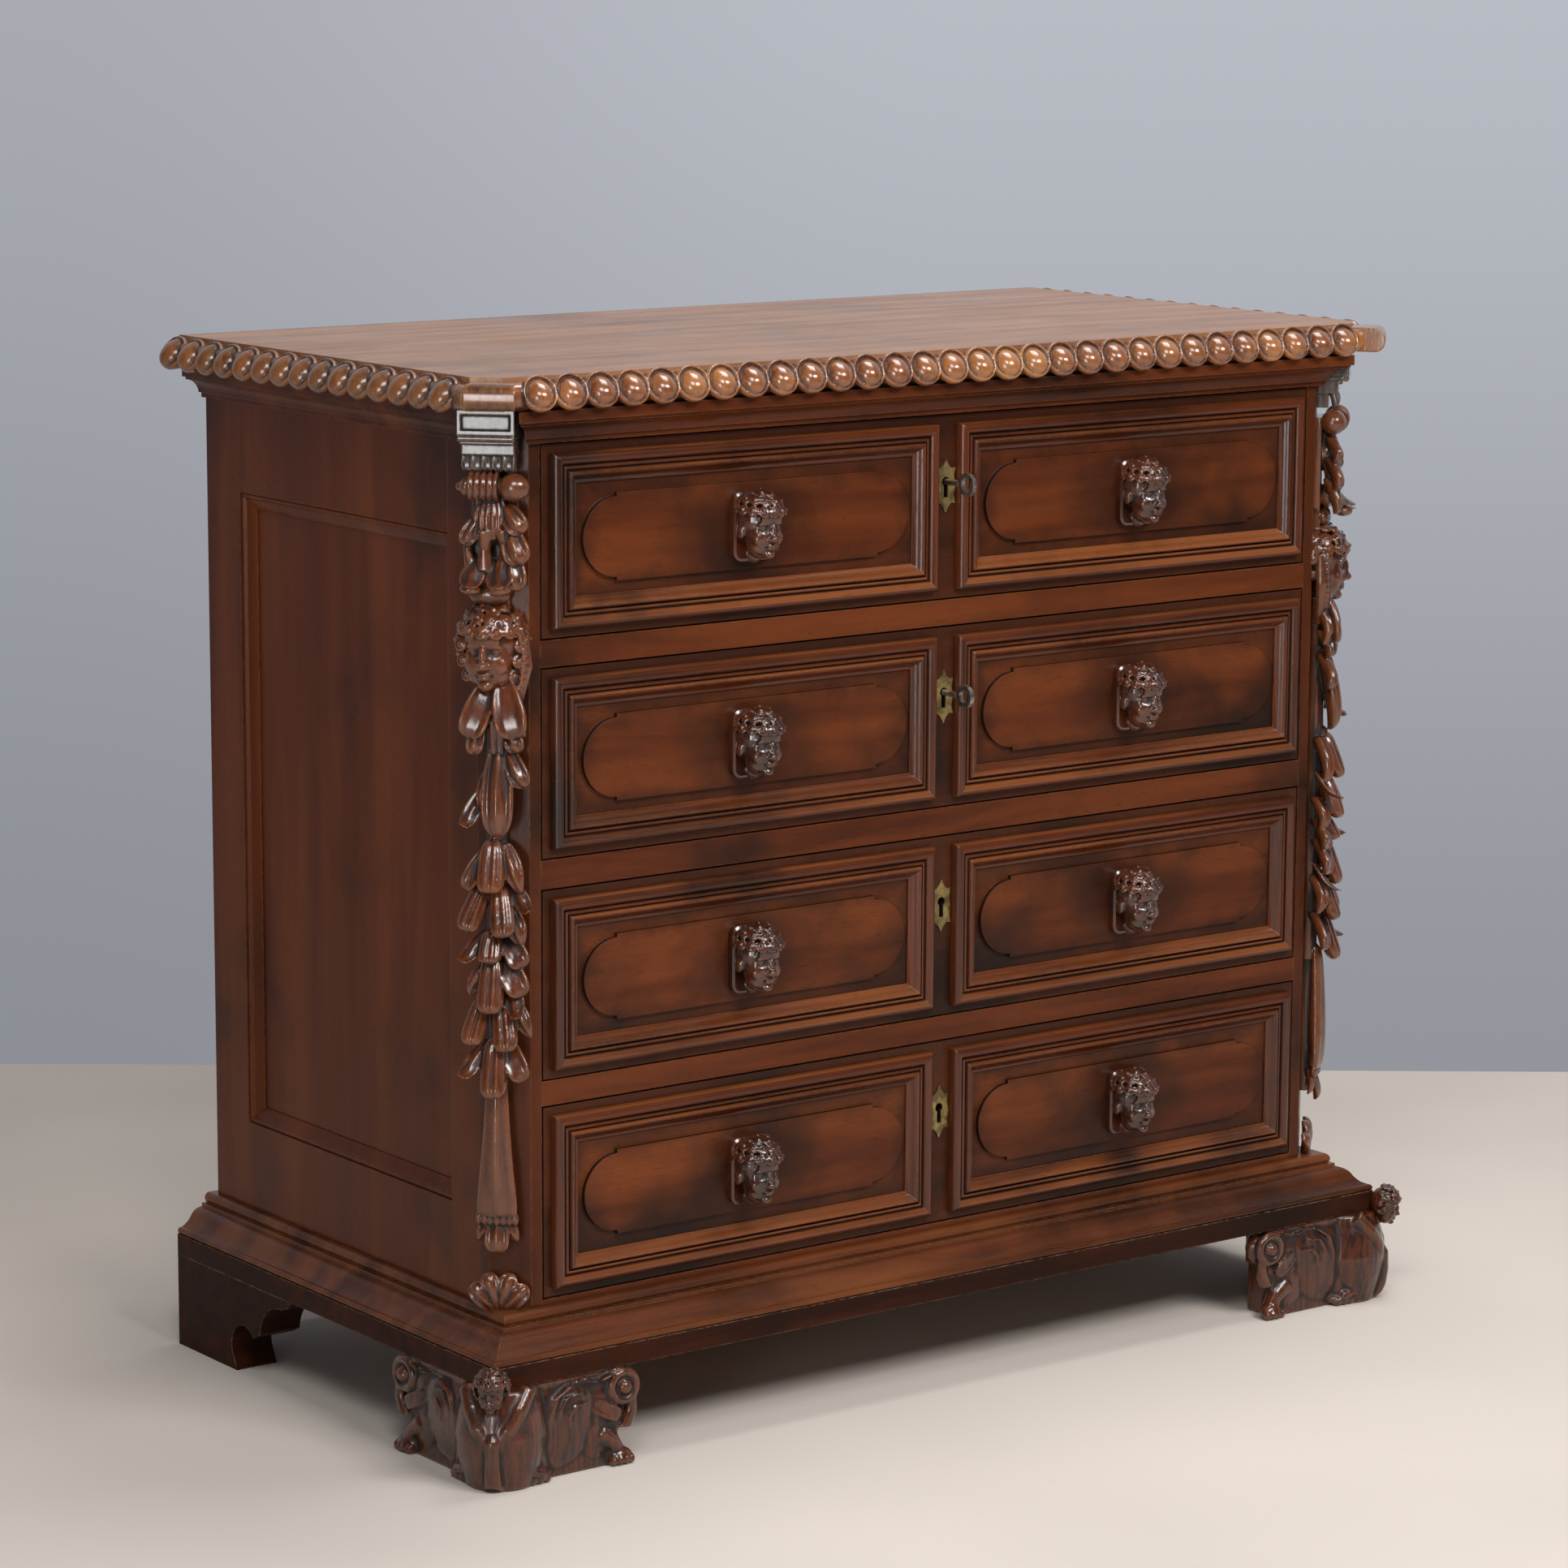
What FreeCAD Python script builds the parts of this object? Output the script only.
import FreeCAD, Part
import math
import os

Vector = FreeCAD.Vector

# Carved walnut chest of four drawers, millimetres.
# +Z up, front towards -Y, origin on the floor under the middle of the bounding box.

# Overall size; the heads of the front feet reach out past the base
HEIGHT = 1000.0
BASE_DEPTH = 567.0
BASE_HALF_WIDTH = 538.5
HEAD_REACH = 26.0
BACK_Y = (BASE_DEPTH + HEAD_REACH) / 2
BASE_FRONT_Y = BACK_Y - BASE_DEPTH

# Base: flat band on the feet, then the plinth moulding
BAND_BOTTOM_Z = 92.0
BAND_TOP_Z = 112.7
BAND_DEPTH = 62.0
PLINTH_TOP_Z = 149.6
PLINTH_HALF_WIDTH = 503.0

# Carcass
SIDE_HALF_WIDTH = 498.0
SIDE_THICKNESS = 26.0
FRONT_Y = BASE_FRONT_Y + 41.0
CARCASS_BACK_Y = BACK_Y - 11.0
CARCASS_TOP_Z = 970.0
OPENING_HALF_WIDTH = 458.5
STILE_WIDTH = 12.0
POST_BACK_Y = FRONT_Y + 42.0
RAIL_DEPTH = 26.0
BACK_BOARD_THICKNESS = 12.0
BACK_BOARD_COUNT = 5
BOTTOM_BOARD_THICKNESS = 12.0

# Side frame and sunk panel
SIDE_OPENING_Y = (FRONT_Y + 89.0, CARCASS_BACK_Y - 61.0)
SIDE_OPENING_Z = (235.0, 853.0)
SIDE_PANEL_SINK = 11.0
SIDE_PANEL_THICKNESS = 9.0
SIDE_BEAD_WIDTH = 16.0

# Top with its lobed edge
TOP_HALF_WIDTH = 526.0
TOP_FRONT_Y = BASE_FRONT_Y + 28.75
TOP_CUT_CORNER = 21.2
NOSE_PROJECTION = 30.0
NOSE_RADIUS = 15.0
NOSE_HEIGHT = 27.0
NOSE_FACETS = 4
NOSE_TOP_Z = 997.0
EAR_PROJECTION = 34.0
EAR_HALF_WIDTH = 23.5
LOBES_FRONT = 30
LOBES_SIDE = 15
LOBE_GROOVE_HALF_WIDTH = 6.0
LOBE_GROOVE_DEPTH = 8.0

# Cornice under the top
CORNICE_BOTTOM_Z = 939.0
CORNICE_PROJECTION = 26.0

# Drawers, listed from the top: bottom and top of each opening
DRAWER_OPENINGS = [(762.0, 939.0), (562.5, 737.5), (359.0, 536.0), (155.0, 336.0)]
BOTTOM_RAIL_Z = (BAND_TOP_Z, DRAWER_OPENINGS[-1][0])
DRAWER_GAP = 1.6
DRAWER_FRONT_THICKNESS = 22.0
DRAWER_SIDE_THICKNESS = 14.0
DRAWER_BOX_HALF_WIDTH = 452.0
DRAWER_BACK_Y = CARCASS_BACK_Y - 27.0
DRAWER_BOX_BELOW_TOP = 14.0
DRAWER_BOTTOM_THICKNESS = 9.0

# Drawer frames and raised fields
CENTRE_STRIP_HALF_WIDTH = 12.5
FRAME_OUTER_X = 449.0
FRAME_MARGIN_Z = 8.0
FRAME_WIDTH = 28.0
FIELD_HEIGHT = 73.0
FIELD_RAISE = 4.5
FIELD_END_GAP = 6.0
FIELD_SHOULDER = 3.5

# Knobs: a carved head on a rounded back plate
KNOB_PLATE = (46.0, 64.0, 7.0)
KNOB_PROJECTION = 42.0
KNOB_HEAD_OVALS = [(-5.0, 16.0), (-22.0, 20.5), (-34.0, 16.5), (-40.0, 7.0)]
KNOB_HEAD_ASPECT = 1.35

# Locks, bolts, key plates and keys
KEYHOLE_ABOVE_MIDDLE = 24.0
KEYHOLE_RADIUS = 4.5
KEYHOLE_SLOT = (5.0, 15.0)
ROUND_FACETS = 12
PLATE_HALF_WIDTH = 11.5
PLATE_HALF_HEIGHT = 26.0
PLATE_THICKNESS = 1.5
LOCK_HALF_WIDTH = 36.0
LOCK_BELOW_KEY = 24.0
LOCK_DEPTH = 14.0
LOCK_WALL = 2.0
BOLT_HALF_WIDTH = 15.0
BOLT_Y = (FRONT_Y + RAIL_DEPTH + 1.0, FRONT_Y + RAIL_DEPTH + 6.0)
BOLT_LENGTH = 46.0
BOLT_CLEARANCE = 0.4
KEY_SHAFT_RADIUS = 3.0
KEY_FRONT_Y = FRONT_Y - 26.0
KEY_TIP_Y = FRONT_Y + 33.0
KEY_BIT = (11.0, 4.0)
KEY_BOW_RADIUS = 9.0
KEY_BOW_WIRE = 2.2

# Canted corners with their carvings; the carvings sit a little towards the side
CANT = SIDE_HALF_WIDTH - OPENING_HALF_WIDTH - STILE_WIDTH
CARVING_OFFSET = 6.0
CAPITAL_HALF_WIDTH = 25.0
CAPITAL_PROJECTION = 32.0
CAPITAL_TONGUES = 5

# Feet
FRONT_FOOT_ALONG_FRONT = 160.0
FRONT_FOOT_ALONG_SIDE = 172.0
FOOT_BOARD_THICKNESS = 40.0
CHEST_BACK = -28.0
HEAD_RADIUS = 16.5
REAR_FOOT_LENGTH = 112.0
REAR_FOOT_REACH = 216.0
REAR_FOOT_THICKNESS = 45.0

RIGHT_TO_LEFT = Vector(1, 0, 0)
PARTS_DIR = "parts"


# Helpers

def box(low, high):
    """Block between two corners."""
    size = [h - l for l, h in zip(low, high)]
    return Part.makeBox(size[0], size[1], size[2], Vector(*low))


def plan_prism(points, low_z, high_z):
    """Polygon in plan, raised between two heights."""
    corners = [Vector(x, y, low_z) for x, y in points]
    face = Part.Face(Part.makePolygon(corners + corners[:1]))
    return face.extrude(Vector(0, 0, high_z - low_z))


def profile_face(start, steps, origin, across, up):
    """Closed section from lines and arcs. A step is an end point, or a middle and an end point."""
    def place(point):
        return origin + across * point[0] + up * point[1]
    edges = []
    here = start
    for step in steps + [start]:
        if isinstance(step[0], tuple):
            middle, end = step
            edges.append(Part.Arc(place(here), place(middle), place(end)).toShape())
        else:
            end = step
            if place(here).distanceToPoint(place(end)) > 1e-6:
                edges.append(Part.LineSegment(place(here), place(end)).toShape())
        here = end
    return Part.Face(Part.Wire(edges))


def fuse(shapes):
    """One solid from solids that overlap or share faces."""
    first, rest = shapes[0], shapes[1:]
    return first.multiFuse(rest).removeSplitter() if rest else first


def mirrored(shape):
    """The same piece on the other side of the chest."""
    return shape.mirror(Vector(0, 0, 0), RIGHT_TO_LEFT)


def export(node, *shapes):
    """One file per node; several solids are kept apart in a compound."""
    shape = shapes[0] if len(shapes) == 1 else Part.makeCompound(list(shapes))
    shape.exportStep(os.path.join(PARTS_DIR, node + ".step"))


def frame_strips(rect, steps, start, width, place):
    """Four mitred strips round a rectangle; place maps (a, b, height) to a point in space."""
    a0, a1, b0, b1 = rect
    corners = [(a0, b0), (a1, b0), (a1, b1), (a0, b1)]
    reach = 40.0
    strips = []
    for i in range(4):
        j = (i + 1) % 4
        (ax, bx), (ay, by) = corners[i], corners[j]
        along = place(ay, by, 0) - place(ax, bx, 0)
        inward = (0, 1) if i == 0 else (-1, 0) if i == 1 else (0, -1) if i == 2 else (1, 0)
        base = place(ax, bx, 0)
        across = place(ax + inward[0], bx + inward[1], 0) - base
        up = place(ax, bx, 1) - base
        length = along.Length
        long_strip = profile_face(start, steps, base, across, up).extrude(along)
        wedge = [base - up * reach, base + along - up * reach,
                 base + along - along * (width / length) + across * width - up * reach,
                 base + along * (width / length) + across * width - up * reach]
        mitre = Part.Face(Part.makePolygon(wedge + wedge[:1])).extrude(up * (2 * reach))
        strips.append(long_strip.common(mitre).Solids[0])
    return strips


def carving_place(shape):
    """Moves a piece drawn square to the front, at x 0, y 0, onto the left canted corner."""
    middle_x = -(OPENING_HALF_WIDTH + STILE_WIDTH + SIDE_HALF_WIDTH) / 2
    middle_y = FRONT_Y + CANT / 2
    slide = CARVING_OFFSET / math.sqrt(2)
    moved = shape.copy()
    moved.rotate(Vector(0, 0, 0), Vector(0, 0, 1), -45)
    moved.translate(Vector(middle_x - slide, middle_y + slide, 0))
    return moved


def facet_loft(rim, sections):
    """Solid with flat facets between like sections.

    The rim is a list of (u, v) points, a section is (u scale, place function)."""
    loops = [[place(u * scale, v * scale) for u, v in rim] for scale, place in sections]
    count = len(rim)
    faces = [Part.Face(Part.makePolygon(loop + loop[:1])) for loop in (loops[0], loops[-1])]
    for low, high in zip(loops, loops[1:]):
        for i in range(count):
            j = (i + 1) % count
            corners = [low[i], low[j], high[j], high[i]]
            faces.append(Part.Face(Part.makePolygon(corners + corners[:1])))
    solid = Part.Solid(Part.Shell(faces))
    solid.fix(1e-6, 1e-6, 1e-6)
    return solid


def carving(sections, rim, back=0.0):
    """Carved mass on the plane y = -back, upright: (height, half width, sideways) per section."""
    def level(z, side):
        return lambda u, v: Vector(side + u, -back - v, z)
    return facet_loft(rim, [(half, level(z, side)) for z, half, side in sections])


def round_rim(depth, count=5):
    """Half oval, for a rounded mass."""
    turns = [math.pi * i / count for i in range(count + 1)]
    return [(-math.cos(turn), depth * math.sin(turn)) for turn in turns]


def leaf_rim(depth):
    """Two slopes on both sides of a flat midrib, for a leaf."""
    return [(-1.0, 0.0), (-0.3, 0.9 * depth), (0.3, 0.9 * depth), (1.0, 0.0)]


# Top and its mouldings

def ear_points():
    """Plan of the left ear: the two ends of the cut corner and the two ends of the ear's face."""
    front_end = (-TOP_HALF_WIDTH + TOP_CUT_CORNER, TOP_FRONT_Y)
    side_end = (-TOP_HALF_WIDTH, TOP_FRONT_Y + TOP_CUT_CORNER)
    mid = ((front_end[0] + side_end[0]) / 2, (front_end[1] + side_end[1]) / 2)
    out = EAR_PROJECTION / math.sqrt(2)
    half = EAR_HALF_WIDTH / math.sqrt(2)
    front_face = (mid[0] - out + half, mid[1] - out - half)
    side_face = (mid[0] - out - half, mid[1] - out + half)
    return front_end, front_face, side_face, side_end


def nose_section(origin, outward, projection):
    """Rounded edge that tapers in below, out from the top board's edge."""
    flat = projection - NOSE_RADIUS
    bottom = NOSE_TOP_Z - NOSE_HEIGHT
    turns = [math.radians(90.0 * i / NOSE_FACETS) for i in range(NOSE_FACETS + 1)]
    crown = [(flat + NOSE_RADIUS * math.sin(turn), NOSE_TOP_Z - NOSE_RADIUS * (1 - math.cos(turn)))
             for turn in turns]
    steps = [(0.0, NOSE_TOP_Z)] + crown + [(projection - 2.5, bottom + 5.0), (flat, bottom)]
    return profile_face((0.0, bottom), steps, origin, outward, Vector(0, 0, 1))


def lobe_groove(face_point, along, outward):
    """Upright V groove in the face of the bullnose, between two lobes."""
    mouth = face_point + outward
    half = along * LOBE_GROOVE_HALF_WIDTH
    tips = [mouth - half, mouth + half, face_point - outward * LOBE_GROOVE_DEPTH]
    return plan_prism([(tip.x, tip.y) for tip in tips], NOSE_TOP_Z - NOSE_HEIGHT - 1, NOSE_TOP_Z + 1)


def lobed_run(low, high, count, along, outward, edge_point, plan):
    """Bullnose between two plan ends, cut into lobes by a row of grooves."""
    span = high - low
    bottom = NOSE_TOP_Z - NOSE_HEIGHT
    nose = nose_section(edge_point + along * low, outward, NOSE_PROJECTION).extrude(along * span)
    run = nose.common(plan_prism(plan, bottom - 1, NOSE_TOP_Z + 1))
    face_line = edge_point + outward * NOSE_PROJECTION
    inset = TOP_CUT_CORNER
    first, last = low + inset, high - (inset if along.x else 0)
    pitch = (last - first) / count
    cuts = [lobe_groove(face_line + along * (first + pitch * i), along, outward) for i in range(1, count)]
    return run.cut(Part.makeCompound(cuts)).Solids[0]


def make_top():
    front_end, front_face, side_face, side_end = ear_points()
    outline = [front_end, (-front_end[0], front_end[1]), (-side_end[0], side_end[1]),
               (TOP_HALF_WIDTH, CARCASS_BACK_Y), (-TOP_HALF_WIDTH, CARCASS_BACK_Y), side_end]
    export("top_board", plan_prism(outline, CARCASS_TOP_Z, HEIGHT))

    front_plan = [front_end, front_face, (-front_face[0], front_face[1]), (-front_end[0], front_end[1])]
    front = lobed_run(-TOP_HALF_WIDTH, TOP_HALF_WIDTH, LOBES_FRONT, Vector(1, 0, 0), Vector(0, -1, 0),
                      Vector(0, TOP_FRONT_Y, 0), front_plan)
    export("gadroon_moulding_front", front)

    side_plan = [side_end, side_face, (side_face[0], CARCASS_BACK_Y), (-TOP_HALF_WIDTH, CARCASS_BACK_Y)]
    side = lobed_run(TOP_FRONT_Y, CARCASS_BACK_Y, LOBES_SIDE, Vector(0, 1, 0), Vector(-1, 0, 0),
                     Vector(-TOP_HALF_WIDTH, 0, 0), side_plan)
    diagonal = Vector(-1, -1, 0).normalize()
    tangent = Vector(1, -1, 0).normalize()
    middle = Vector((front_end[0] + side_end[0]) / 2, (front_end[1] + side_end[1]) / 2, 0)
    ear = nose_section(middle - tangent * 40, diagonal, EAR_PROJECTION).extrude(tangent * 80)
    ear_plan = [front_end, front_face, side_face, side_end]
    ear = ear.common(plan_prism(ear_plan, CARCASS_TOP_Z - 1, HEIGHT)).Solids[0]
    export("gadroon_moulding_left", side, ear)
    export("gadroon_moulding_right", mirrored(side), mirrored(ear))


def cornice_section(origin, outward):
    """Fillet, cavetto and two fillets, stepping out under the top."""
    low, high, out = CORNICE_BOTTOM_Z, CARCASS_TOP_Z, CORNICE_PROJECTION
    steps = [(5.0, low), (5.0, low + 5.0), (8.0, low + 5.0), ((12.0, low + 13.5), (out - 4.0, low + 18.0)),
             (out - 4.0, low + 21.0), (out, low + 21.0), (out, high), (0.0, high)]
    return profile_face((0.0, low), steps, origin, outward, Vector(0, 0, 1))


def make_cornice():
    front = cornice_section(Vector(-SIDE_HALF_WIDTH - 60, FRONT_Y, 0), Vector(0, -1, 0))
    front = front.extrude(Vector(2 * SIDE_HALF_WIDTH + 120, 0, 0))
    side = cornice_section(Vector(-SIDE_HALF_WIDTH, FRONT_Y - 60, 0), Vector(-1, 0, 0))
    side = side.extrude(Vector(0, CARCASS_BACK_Y - FRONT_Y + 60, 0))
    keep_out = carving_place(box((-CAPITAL_HALF_WIDTH, -120, 900), (CAPITAL_HALF_WIDTH, 60, 1000)))
    left_of = carving_place(box((-400, -400, 900), (-CAPITAL_HALF_WIDTH, 400, 1000)))
    right_of = carving_place(box((CAPITAL_HALF_WIDTH, -400, 900), (400, 400, 1000)))
    front = front.cut(Part.makeCompound([keep_out, left_of]))
    front = front.cut(Part.makeCompound([mirrored(keep_out), mirrored(left_of)])).Solids[0]
    side = side.cut(Part.makeCompound([keep_out, right_of])).Solids[0]
    export("cornice_moulding", front, side, mirrored(side))


# Carcass

def make_side():
    """Frame with sunk panel; drawn on the left."""
    outer, inner = -SIDE_HALF_WIDTH, -SIDE_HALF_WIDTH + SIDE_THICKNESS
    y0, y1 = SIDE_OPENING_Y
    z0, z1 = SIDE_OPENING_Z
    panel_low = -SIDE_HALF_WIDTH + SIDE_PANEL_SINK
    panel_high = panel_low + SIDE_PANEL_THICKNESS
    tongue = 8.0
    panel = box((panel_low, y0 - tongue, z0 - tongue), (panel_high, y1 + tongue, z1 + tongue))
    members = [
        box((outer, POST_BACK_Y, PLINTH_TOP_Z), (inner, y0, CARCASS_TOP_Z)),
        box((outer, y1, PLINTH_TOP_Z), (inner, CARCASS_BACK_Y, CARCASS_TOP_Z)),
        box((outer, y0, PLINTH_TOP_Z), (inner, y1, z0)),
        box((outer, y0, z1), (inner, y1, CARCASS_TOP_Z)),
    ]
    members = [member.cut(panel) for member in members]
    bead = [(0.0, 7.5), (1.5, 9.5), (4.0, 9.5), (6.0, 7.0), ((11.0, 5.0), (SIDE_BEAD_WIDTH, 1.5)),
            (SIDE_BEAD_WIDTH, 0.0)]
    beads = frame_strips((y0, y1, z0, z1), bead, (0.0, 0.0), SIDE_BEAD_WIDTH,
                         lambda a, b, h: Vector(panel_low - h, a, b))
    for side_name, turn in (("left", lambda s: s), ("right", mirrored)):
        export(side_name + "_side_frame", *[turn(s) for s in members + beads])
        export(side_name + "_side_panel", turn(panel))


def make_corner_post():
    inner = -OPENING_HALF_WIDTH
    outline = [(inner, FRONT_Y), (inner, POST_BACK_Y), (-SIDE_HALF_WIDTH, POST_BACK_Y),
               (-SIDE_HALF_WIDTH, FRONT_Y + CANT), (inner - STILE_WIDTH, FRONT_Y)]
    post = plan_prism(outline, PLINTH_TOP_Z, CARCASS_TOP_Z)
    export("left_corner_post", post)
    export("right_corner_post", mirrored(post))


def make_rails():
    levels = [(DRAWER_OPENINGS[0][1], CARCASS_TOP_Z)]
    levels += [(low[1], high[0]) for high, low in zip(DRAWER_OPENINGS, DRAWER_OPENINGS[1:])]
    levels += [BOTTOM_RAIL_Z]
    half = OPENING_HALF_WIDTH
    rails = [box((-half, FRONT_Y, low), (half, FRONT_Y + RAIL_DEPTH, high)) for low, high in levels]
    export("front_rails", *rails)


def make_runners():
    """L-shaped runner: the drawer side rides on its foot and is guided by its upright."""
    inner, outer = -430.0, -SIDE_HALF_WIDTH + SIDE_THICKNESS
    rear = CARCASS_BACK_Y - BACK_BOARD_THICKNESS
    runners = []
    for low, high in DRAWER_OPENINGS:
        foot = box((outer, POST_BACK_Y, low - 20), (inner, rear, low))
        tenon = box((-OPENING_HALF_WIDTH, FRONT_Y + RAIL_DEPTH, low - 20), (inner, POST_BACK_Y, low))
        guide = box((outer, POST_BACK_Y, low), (-DRAWER_BOX_HALF_WIDTH - 2, rear, low + 30))
        runner = fuse([foot, tenon, guide])
        runners += [runner, mirrored(runner)]
    export("drawer_runners", *runners)


def make_back_and_bottom():
    inner = SIDE_HALF_WIDTH - SIDE_THICKNESS
    width = 2 * inner / BACK_BOARD_COUNT
    front = CARCASS_BACK_Y - BACK_BOARD_THICKNESS
    boards = [box((-inner + i * width, front, BAND_TOP_Z),
                  (-inner + (i + 1) * width, CARCASS_BACK_Y, CARCASS_TOP_Z))
              for i in range(BACK_BOARD_COUNT)]
    export("back_boards", *boards)
    bottom = box((-inner, FRONT_Y + RAIL_DEPTH, BAND_TOP_Z),
                 (inner, front, BAND_TOP_Z + BOTTOM_BOARD_THICKNESS))
    export("bottom_board", bottom)


# Base

def plinth_section(origin, inward):
    """From the band up: bead, cyma, step and rounded fillet."""
    rise = PLINTH_TOP_Z - BAND_TOP_Z
    inset = BASE_HALF_WIDTH - PLINTH_HALF_WIDTH
    run_in = 64.0
    steps = [(2.0, 0.0), ((0.4, 3.0), (3.0, 6.0)), (5.0, 6.0), ((9.0, 8.5), (15.0, 15.0)),
             ((20.0, 21.0), (28.0, 23.5)), (28.0, 27.0), (inset - 2.0, 27.0),
             ((inset - 4.0, 32.0), (inset, rise)), (run_in, rise)]
    return profile_face((run_in, 0.0), steps, origin, inward, Vector(0, 0, 1))


def make_plinth():
    half, front, back = BASE_HALF_WIDTH, BASE_FRONT_Y, BACK_Y
    high = PLINTH_TOP_Z + 1
    miter = 80.0
    corner = Vector(-half, front, BAND_TOP_Z)
    front_run = plinth_section(corner, Vector(0, 1, 0)).extrude(Vector(2 * half, 0, 0))
    front_run = front_run.common(plan_prism([(-half, front), (half, front), (half - miter, front + miter),
                                             (-half + miter, front + miter)], BAND_TOP_Z - 1, high))
    side_run = plinth_section(corner, Vector(1, 0, 0)).extrude(Vector(0, back - front, 0))
    side_run = side_run.common(plan_prism([(-half, front), (-half + miter, front + miter),
                                           (-half + miter, back), (-half, back)], BAND_TOP_Z - 1, high))
    inner = SIDE_HALF_WIDTH - SIDE_THICKNESS
    well = box((-inner, FRONT_Y, BAND_TOP_Z - 5), (inner, CARCASS_BACK_Y, high))
    front_run = front_run.cut(well).Solids[0]
    side_run = side_run.cut(well).Solids[0]
    export("plinth_moulding", front_run, side_run, mirrored(side_run))
    return [front_run, side_run]


def make_band():
    half, front, back, wide = BASE_HALF_WIDTH, BASE_FRONT_Y, BACK_Y, BAND_DEPTH
    low, high = BAND_BOTTOM_Z, BAND_TOP_Z
    front_run = plan_prism([(-half, front), (half, front), (half - wide, front + wide),
                            (-half + wide, front + wide)], low, high)
    side_run = plan_prism([(-half, front), (-half + wide, front + wide), (-half + wide, back),
                           (-half, back)], low, high)
    rear = box((-half + wide, back - wide, low), (half - wide, back, high))
    export("base_rail", front_run, side_run, mirrored(side_run), rear)
    return [front_run, side_run]


def scrolled_board(length, thickness):
    """Side of a front foot: crouching body with a wing, its tail curled up at the end. Drawn along +X."""
    top = BAND_BOTTOM_Z
    curl = 19.0
    curl_x = length - curl
    curl_z = top - curl
    steps = [(length - 26.0, 0.0), (length - 17.0, 8.0), (length - 16.0, 18.0), (length - 24.0, 32.0),
             (length - 32.0, 44.0), (length - 30.0, curl_z - 10.0), (curl_x, curl_z - curl)]
    turns = [math.radians(45.0 * i - 90.0) for i in range(1, 5)]
    steps += [(curl_x + curl * math.cos(turn), curl_z + curl * math.sin(turn)) for turn in turns]
    steps.append((0.0, top))
    face = profile_face((0.0, 0.0), steps, Vector(0, 0, 0), Vector(1, 0, 0), Vector(0, 0, 1))
    board = face.extrude(Vector(0, thickness, 0))
    turns = [math.radians(60.0 * i) for i in range(6)]
    eye = [(curl_x + 7.0 * math.cos(turn), curl_z + 7.0 * math.sin(turn)) for turn in turns]
    wing = [(62.0, 28.0), (64.0, 56.0), (76.0, 70.0), (96.0, 76.0), (114.0, 64.0), (114.0, 46.0),
            (100.0, 28.0), (80.0, 22.0)]
    raised = [profile_face(rim[0], rim[1:], Vector(0, -5.0, 0), Vector(1, 0, 0), Vector(0, 0, 1))
              for rim in (eye, wing)]
    return fuse([board] + [face.extrude(Vector(0, 5.0, 0)) for face in raised])


def facet_head(radius):
    """Ball with flat facets, two of them square to the front and side of the chest."""
    rim = [(math.cos(math.pi * i / 4), math.sin(math.pi * i / 4)) for i in range(8)]
    def level(z):
        return lambda u, v: Vector(u, v, z)
    heights = [math.radians(angle) for angle in (-70, -40, 0, 40, 70)]
    head = facet_loft(rim, [(radius * math.cos(turn), level(radius * math.sin(turn))) for turn in heights])
    head.rotate(Vector(0, 0, 0), Vector(0, 0, 1), 45)
    return head


def make_front_foot(blocked):
    """Crouching winged figure: two scrolled sides, a swelling chest and a head looking out at the corner."""
    along_front = scrolled_board(FRONT_FOOT_ALONG_FRONT, FOOT_BOARD_THICKNESS)
    along_front.translate(Vector(-BASE_HALF_WIDTH, BASE_FRONT_Y, 0))
    along_side = scrolled_board(FRONT_FOOT_ALONG_SIDE, FOOT_BOARD_THICKNESS)
    along_side = along_side.mirror(Vector(0, 0, 0), Vector(1, -1, 0).normalize())
    along_side.translate(Vector(-BASE_HALF_WIDTH, BASE_FRONT_Y, 0))
    chest = carving([(0.0, 22.0, 0.0), (20.0, 34.0, 0.0), (46.0, 40.0, 0.0), (70.0, 33.0, 0.0),
                     (BAND_BOTTOM_Z, 22.0, 0.0)], round_rim(1.0), CHEST_BACK)
    head = facet_head(HEAD_RADIUS)
    head_step = (HEAD_REACH - HEAD_RADIUS) * math.sqrt(2)
    head.translate(Vector(0, -head_step, BAND_TOP_Z - 9.0))
    neck = carving([(76.0, 16.0, 0.0), (104.0, 12.0, 0.0)], round_rim(1.0), -1.0)
    figure = []
    for piece in (chest, head, neck):
        piece.rotate(Vector(0, 0, 0), Vector(0, 0, 1), -45)
        piece.translate(Vector(-BASE_HALF_WIDTH, BASE_FRONT_Y, 0))
        figure.append(piece)
    foot = fuse([along_front, along_side] + figure)
    foot = foot.cut(Part.makeCompound(blocked))
    foot = max(foot.Solids, key=lambda s: s.Volume)
    export("front_left_foot", foot)
    export("front_right_foot", mirrored(foot))


def make_rear_foot():
    """Bracket with two scallops, in the plane of the band."""
    length, reach, top = REAR_FOOT_LENGTH, REAR_FOOT_REACH, BAND_BOTTOM_Z
    steps = [(length, 0.0), (length - 6.0, 12.0), ((length - 4.0, 40.0), (length + 24.0, 46.0)),
             (length + 32.0, 40.0), (length + 44.0, 46.0), ((length + 56.0, 70.0), (length + 80.0, 80.0)),
             ((length + 90.0, 82.0), (reach, top)), (0.0, top)]
    corner = Vector(-BASE_HALF_WIDTH, BACK_Y, 0)
    face = profile_face((0.0, 0.0), steps, corner, Vector(0, -1, 0), Vector(0, 0, 1))
    foot = face.extrude(Vector(REAR_FOOT_THICKNESS, 0, 0))
    export("rear_left_foot", foot)
    export("rear_right_foot", mirrored(foot))


# Canted corner carvings

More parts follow.
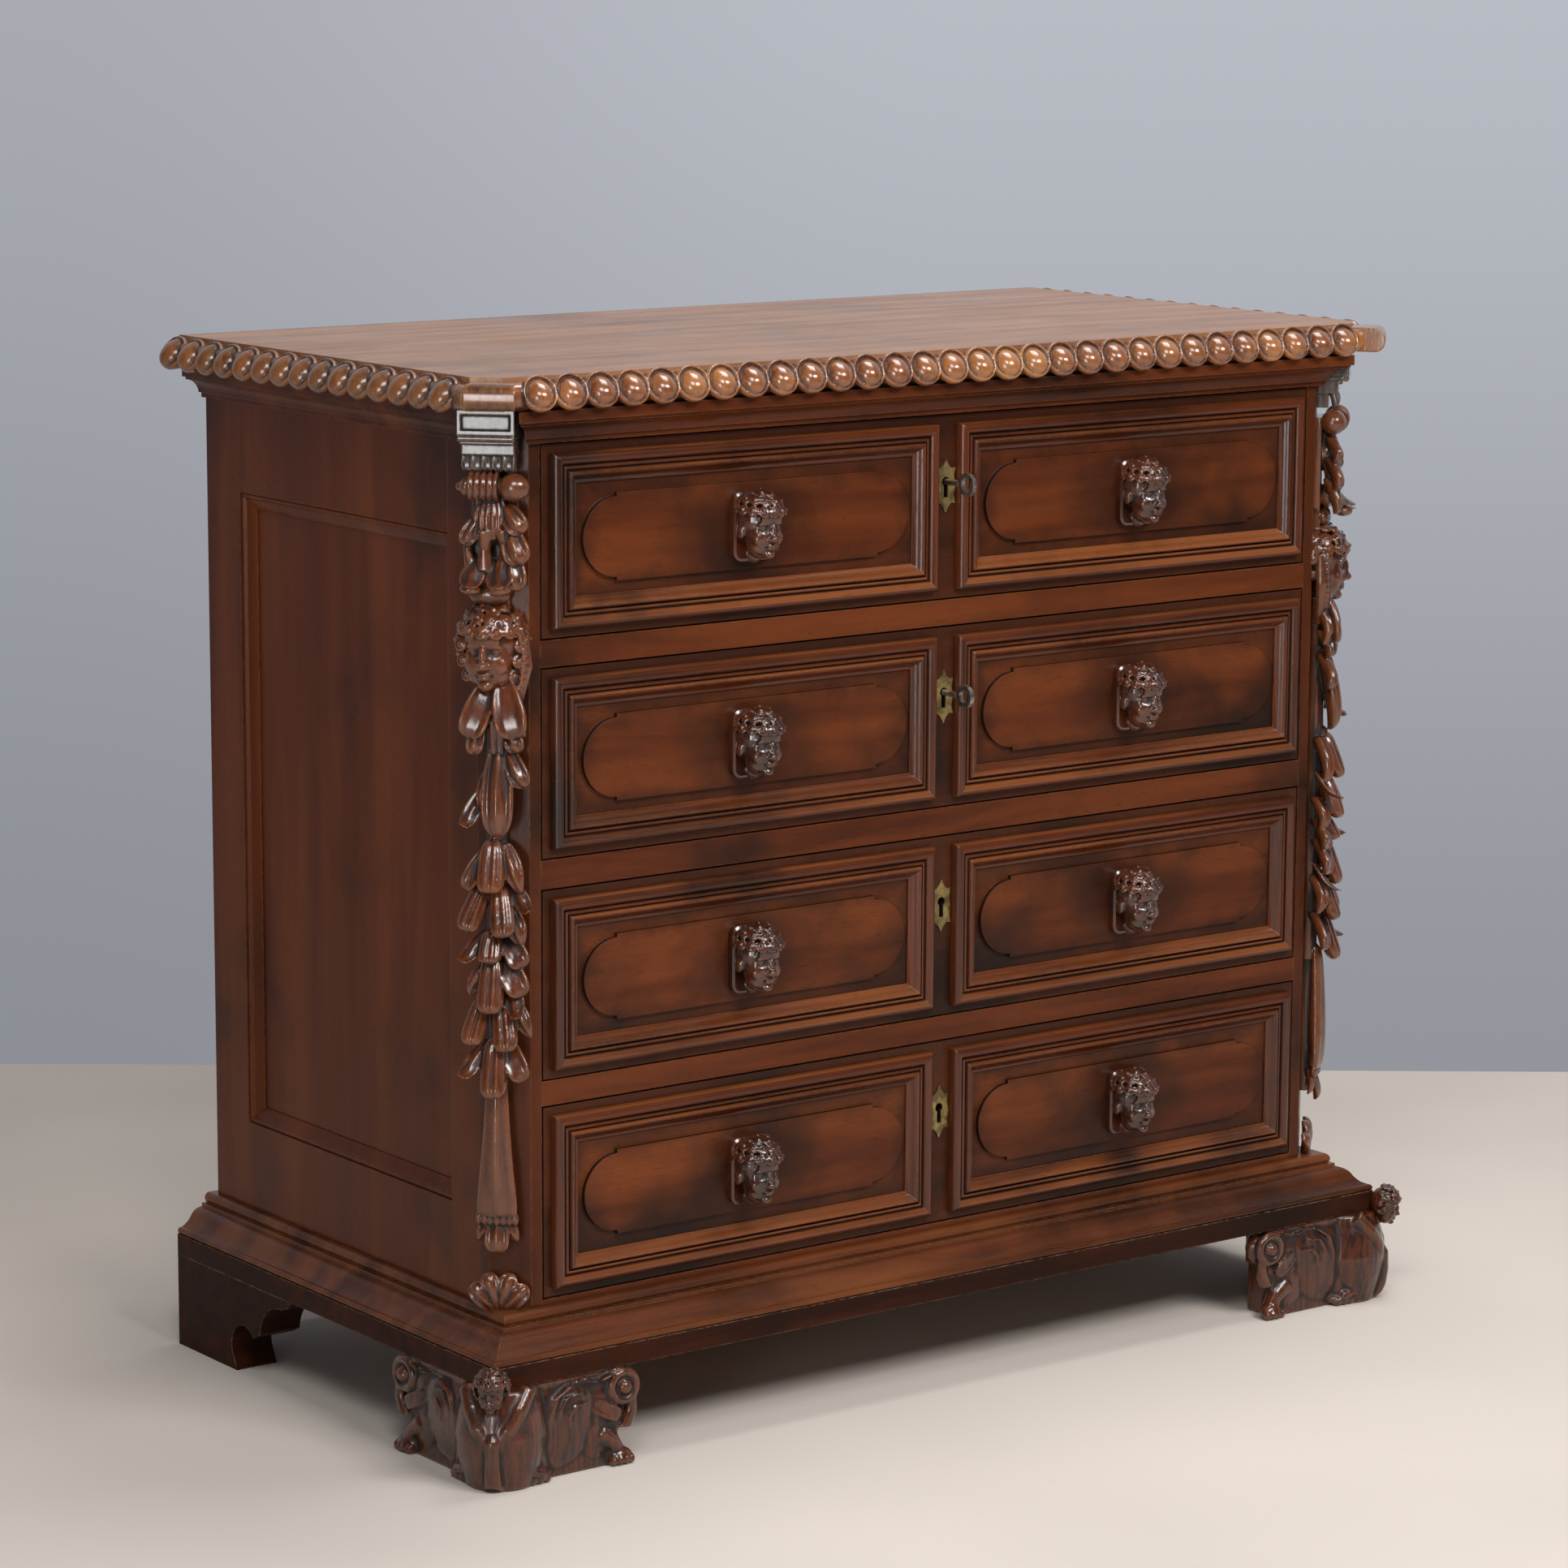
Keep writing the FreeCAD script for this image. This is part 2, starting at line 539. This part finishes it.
def make_capital():
    half, out = CAPITAL_HALF_WIDTH, CAPITAL_PROJECTION
    top, bottom = CARCASS_TOP_Z, 949.0
    block = box((-half, -out, bottom), (half, 0, top))
    block = block.cut(box((-half + 4, -out - 1, bottom + 4), (half - 4, -out + 2.5, top - 3)))
    bead = box((-half + 1, -out + 3, 943.0), (half - 1, 0, bottom))
    bead_end = Vector(-half + 1, -out + 3, 946.0)
    bead = bead.fuse(Part.makeCylinder(3.0, 2 * half - 2, bead_end, Vector(1, 0, 0)))
    band = box((-half + 3, -21, 931.0), (half - 3, 0, 943.0))
    tongue_width = (2 * half - 8) / CAPITAL_TONGUES
    tongue_depth = 14.0
    pieces = [block, bead, band, box((-half + 4, -tongue_depth + 4, 917.0), (half - 4, 0, 931.0))]
    for i in range(CAPITAL_TONGUES):
        middle = -half + 4 + tongue_width * (i + 0.5)
        tongue = carving([(917.0, 0.35 * tongue_width, middle), (922.0, 0.45 * tongue_width, middle),
                          (931.0, 0.45 * tongue_width, middle)], leaf_rim(1.0), tongue_depth - 6.0)
        pieces.append(tongue)
    capital = carving_place(fuse(pieces))
    export("left_capital", capital)
    export("right_capital", mirrored(capital))


def petal(high, low, top_x, tip_x, half):
    """One carved leaf hanging from (top_x, high) to its tip at (tip_x, low), swelling on the way."""
    swell = low + 0.35 * (high - low)
    swell_x = top_x + 0.7 * (tip_x - top_x)
    sections = [(high, 0.5 * half, top_x), (swell, half, swell_x), (low, 0.35 * half, tip_x)]
    return carving(sections, leaf_rim(1.0))


def make_pilaster_carving():
    """Hanging garland, from the top: scrolls, leaf, head, drapery, husks and tassel."""
    forms = [carving([(917.0, 22.0, 0), (888.0, 20.0, 0), (852.0, 28.0, 2), (818.0, 26.0, 0)],
                     leaf_rim(0.65)),
             carving([(822.0, 20.0, 0), (808.0, 31.0, 0), (798.0, 24.0, 0)], leaf_rim(1.15)),
             carving([(802.0, 26.0, 0), (784.0, 31.0, 0), (740.0, 28.0, 0), (704.0, 15.0, 0)],
                     round_rim(1.05))]
    for middle, radius in ((-17.0, 11.5), (2.0, 13.5), (21.0, 11.5)):
        forms.append(Part.makeCylinder(radius, 20.0, Vector(middle - 10, -21.5, 902.0), Vector(1, 0, 0)))
    drapery = [(722.0, 640.0, -12.0, -14.0, 11.0), (722.0, 628.0, 14.0, 24.0, 12.0),
               (716.0, 632.0, 2.0, 2.0, 14.0)]
    leaf = [(650.0, 584.0, -6.0, -14.0, 11.0), (650.0, 578.0, 4.0, 3.0, 15.0),
            (648.0, 586.0, 10.0, 20.0, 10.0)]
    for high, low, top_x, tip_x, half in drapery + leaf:
        forms.append(petal(high, low, top_x, tip_x, half))
    husks = [(596.0, 540.0, 3.0), (556.0, 497.0, 0.0), (510.0, 448.0, 3.0), (460.0, 408.0, 2.0),
             (420.0, 356.0, 2.0)]
    for high, low, middle in husks:
        for spread, rise, half in ((-18.0, 8.0, 11.0), (18.0, 4.0, 11.0), (0.0, 0.0, 15.0)):
            forms.append(petal(high, low + rise, middle + 0.25 * spread, middle + spread, half))
    tassel = [(376.0, 11.0, 4), (300.0, 18.0, 4), (258.0, 22.0, 4), (236.0, 17.0, 2)]
    forms.append(carving(tassel, round_rim(0.95)))
    forms.append(carving([(240.0, 14.0, 0), (226.0, 12.0, 0), (204.0, 3.0, 0)], leaf_rim(1.0)))
    garland = carving_place(fuse(forms))
    base_leaf = carving_place(carving([(191.0, 6.0, 7), (170.0, 13.0, 7), (153.0, 9.0, 7)], leaf_rim(0.7)))
    export("left_pilaster_carving", garland, base_leaf)
    export("right_pilaster_carving", mirrored(garland), mirrored(base_leaf))


# Drawers

def frame_section():
    """Outer flank, bead, ovolo and hollow, as (step inward from the outer edge, height off the front)."""
    return [(0.0, 7.0), (2.0, 11.0), (4.5, 12.0), (7.0, 11.0), (8.0, 8.5), (12.5, 7.0), (15.0, 4.0),
            (16.5, 3.2), (FRAME_WIDTH - 6.0, 1.4), (FRAME_WIDTH, 1.0), (FRAME_WIDTH, 0.0)]


def raised_field(x0, x1, middle_z):
    """Field with round ends and small square shoulders where the rounds begin."""
    half = FIELD_HEIGHT / 2
    shoulder = FIELD_SHOULDER
    start = (x0 + half, middle_z - half)
    steps = [(x0 + half, middle_z - half - shoulder), (x1 - half, middle_z - half - shoulder),
             (x1 - half, middle_z - half), ((x1, middle_z), (x1 - half, middle_z + half)),
             (x1 - half, middle_z + half + shoulder), (x0 + half, middle_z + half + shoulder),
             (x0 + half, middle_z + half), ((x0, middle_z), start)]
    face = profile_face(start, steps, Vector(0, FRONT_Y - FIELD_RAISE, 0), Vector(1, 0, 0), Vector(0, 0, 1))
    return face.extrude(Vector(0, FIELD_RAISE, 0))


def keyhole(z, y0, y1):
    """Round hole with a slot below, to cut through what covers the lock."""
    width, length = KEYHOLE_SLOT
    open_turn = math.asin(width / 2 / KEYHOLE_RADIUS)
    sweep = 2 * (math.pi - open_turn)
    turns = [open_turn + sweep * i / ROUND_FACETS for i in range(ROUND_FACETS + 1)]
    outline = [Vector(-KEYHOLE_RADIUS * math.sin(turn), y0, z - KEYHOLE_RADIUS * math.cos(turn))
               for turn in turns]
    outline += [Vector(width / 2, y0, z - length), Vector(-width / 2, y0, z - length)]
    return Part.Face(Part.makePolygon(outline + outline[:1])).extrude(Vector(0, y1 - y0, 0))


def key_height(low, high):
    return (low + high) / 2 + KEYHOLE_ABOVE_MIDDLE


def make_drawer_front(number, low, high):
    z0, z1 = low + DRAWER_GAP, high - DRAWER_GAP
    half = OPENING_HALF_WIDTH - DRAWER_GAP
    back = FRONT_Y + DRAWER_FRONT_THICKNESS
    board = box((-half, FRONT_Y, z0), (half, back, z1))
    middle_z = (low + high) / 2
    inner, outer = CENTRE_STRIP_HALF_WIDTH, FRAME_OUTER_X
    field = raised_field(inner + FRAME_WIDTH + FIELD_END_GAP, outer - FRAME_WIDTH - FIELD_END_GAP, middle_z)
    z_key = key_height(low, high)
    front = fuse([board, field, mirrored(field)]).cut(keyhole(z_key, FRONT_Y - 1, back + 1))
    export("drawer_%d_front" % number, front)
    strips = frame_strips((inner, outer, z0 + FRAME_MARGIN_Z, z1 - FRAME_MARGIN_Z), frame_section(),
                          (0.0, 0.0), FRAME_WIDTH, lambda a, b, h: Vector(a, FRONT_Y - h, b))
    export("drawer_%d_frames" % number, *(strips + [mirrored(s) for s in strips]))


def make_drawer_box(number, low, high):
    z0, z1 = low + DRAWER_GAP, high - DRAWER_BOX_BELOW_TOP
    outer = DRAWER_BOX_HALF_WIDTH
    inner = outer - DRAWER_SIDE_THICKNESS
    front = FRONT_Y + DRAWER_FRONT_THICKNESS
    side = box((-outer, front, low + 0.3), (-inner, DRAWER_BACK_Y, z1))
    floor_low = z0 + 4.0
    floor_high = floor_low + DRAWER_BOTTOM_THICKNESS
    back = box((-inner, DRAWER_BACK_Y - DRAWER_SIDE_THICKNESS, floor_high), (inner, DRAWER_BACK_Y, z1 - 6.0))
    export("drawer_%d_box" % number, side, mirrored(side), back)
    floor = box((-inner, front, floor_low), (inner, DRAWER_BACK_Y, floor_high))
    export("drawer_%d_bottom" % number, floor)


def oval_loft(ovals, swell):
    """Head built out from the plate: (y, half width) per section, taller than wide."""
    turns = [math.pi * (i + 0.5) / 4 for i in range(8)]
    rim = [(math.cos(turn), KNOB_HEAD_ASPECT * math.sin(turn)) for turn in turns]
    def level(y):
        return lambda u, v: Vector(u, y, v)
    return facet_loft(rim, [(half + swell, level(y)) for y, half in ovals])


def make_knobs(number, low, high):
    """Two carved heads with hair and a nose, each on a back plate with cut corners."""
    width, height, thick = KNOB_PLATE
    middle_z = (low + high) / 2
    middle_x = (CENTRE_STRIP_HALF_WIDTH + FRAME_OUTER_X) / 2
    ground = FRONT_Y - FIELD_RAISE
    plate = box((-width / 2, -thick, -height / 2), (width / 2, 0, height / 2))
    plate = plate.makeChamfer(5.0, [e for e in plate.Edges if abs(e.tangentAt(e.FirstParameter).y) > 0.9])
    skull = oval_loft(KNOB_HEAD_OVALS, 0.0)
    brow_y = -KNOB_PROJECTION + 9.0
    crown = box((-width, -KNOB_PROJECTION, 13.0), (width, 0, height))
    hair = oval_loft(KNOB_HEAD_OVALS[:-1], 1.8).common(crown)
    nose = [Vector(-4, brow_y, -6), Vector(4, brow_y, -6), Vector(0, brow_y, 9),
            Vector(0, -KNOB_PROJECTION, -5)]
    sides = [(0, 1, 2), (0, 1, 3), (1, 2, 3), (2, 0, 3)]
    faces = [Part.Face(Part.makePolygon([nose[i] for i in side + side[:1]])) for side in sides]
    knob = fuse([plate, skull, hair, Part.Solid(Part.Shell(faces))])
    knobs = []
    for side in (-1, 1):
        copy = knob.copy()
        copy.translate(Vector(side * middle_x, ground, middle_z))
        knobs.append(copy)
    export("drawer_%d_knobs" % number, *knobs)


def make_escutcheon(number, z_key):
    """Shaped brass plate with pointed ends, pierced for the key."""
    w, h = PLATE_HALF_WIDTH, PLATE_HALF_HEIGHT
    upper = [(0.0, h), (3.0, h - 6.0), (6.5, h - 9.5), (w, h - 9.0), (w - 2.0, h - 17.0), (w, 0.0)]
    half_outline = upper + [(across, -rise) for across, rise in reversed(upper[:-1])]
    face = profile_face(half_outline[0], half_outline[1:], Vector(0, FRONT_Y - PLATE_THICKNESS, z_key - 4.0),
                        Vector(1, 0, 0), Vector(0, 0, 1))
    right = face.extrude(Vector(0, PLATE_THICKNESS, 0))
    plate = fuse([right, mirrored(right)]).cut(keyhole(z_key, FRONT_Y - 5, FRONT_Y + 5))
    export("drawer_%d_escutcheon" % number, plate)


def make_lock(number, high, z_key):
    """Lock case on the inner face, open towards the drawer front, with the bolt in its top edge."""
    front = FRONT_Y + DRAWER_FRONT_THICKNESS
    back = front + LOCK_DEPTH
    z0, z1 = z_key - LOCK_BELOW_KEY, high - DRAWER_GAP - 1.0
    half, wall, gap = LOCK_HALF_WIDTH, LOCK_WALL, BOLT_CLEARANCE
    case = box((-half, front, z0), (half, back, z1))
    case = case.cut(box((-half + wall, front - 1, z0 + wall), (half - wall, back - wall, z1 - wall)))
    slot = box((-BOLT_HALF_WIDTH - gap, BOLT_Y[0] - gap, z1 - 2 * wall),
               (BOLT_HALF_WIDTH + gap, BOLT_Y[1] + gap, z1 + 1))
    export("drawer_%d_lock" % number, case.cut(slot))
    bolt = box((-BOLT_HALF_WIDTH, BOLT_Y[0], z1 - BOLT_LENGTH), (BOLT_HALF_WIDTH, BOLT_Y[1], z1))
    talon = box((-6.0, BOLT_Y[0] - 5, z1 - BOLT_LENGTH - 1), (6.0, BOLT_Y[1] + 5, z1 - BOLT_LENGTH + 8))
    export("drawer_%d_bolt" % number, bolt.cut(talon))


def ring(radius, low_x, high_x, y, z):
    """Disc with flat facets, its axis along X."""
    turns = [2 * math.pi * i / ROUND_FACETS for i in range(ROUND_FACETS)]
    rim = [Vector(low_x, y + radius * math.cos(turn), z + radius * math.sin(turn)) for turn in turns]
    return Part.Face(Part.makePolygon(rim + rim[:1])).extrude(Vector(high_x - low_x, 0, 0))


def make_key(number, z_key):
    """Ring bow, shoulder, round shaft and a bit that hangs down inside the lock."""
    reach, thick = KEY_BIT
    half = KEY_BOW_WIRE
    bow_y = KEY_FRONT_Y - KEY_BOW_RADIUS + 1.0
    bow = ring(KEY_BOW_RADIUS + half, -half, half, bow_y, z_key).cut(
        ring(KEY_BOW_RADIUS - half, -half - 1, half + 1, bow_y, z_key))
    shaft_y = KEY_FRONT_Y + 4.0
    shoulder = box((-half, KEY_FRONT_Y, z_key - 3.0), (half, shaft_y + 1.0, z_key + 3.0))
    shaft_end = Vector(0, shaft_y, z_key)
    shaft = Part.makeCylinder(KEY_SHAFT_RADIUS, KEY_TIP_Y - shaft_y, shaft_end, Vector(0, 1, 0))
    inside = FRONT_Y + DRAWER_FRONT_THICKNESS + 0.6
    bit = box((-1.4, inside, z_key - reach), (1.4, inside + thick - 0.3, z_key))
    export("key_%d" % number, fuse([bow, shoulder, shaft, bit]))


def make_drawers():
    for number, (low, high) in enumerate(DRAWER_OPENINGS, 1):
        z_key = key_height(low, high)
        make_drawer_front(number, low, high)
        make_drawer_box(number, low, high)
        make_knobs(number, low, high)
        make_escutcheon(number, z_key)
        make_lock(number, high, z_key)
    for number in (1, 2):
        make_key(number, key_height(*DRAWER_OPENINGS[number - 1]))


os.makedirs(PARTS_DIR, exist_ok=True)
make_top()
make_cornice()
make_side()
make_corner_post()
make_rails()
make_runners()
make_back_and_bottom()
base_runs = make_plinth() + make_band()
make_front_foot(base_runs)
make_rear_foot()
make_capital()
make_pilaster_carving()
make_drawers()
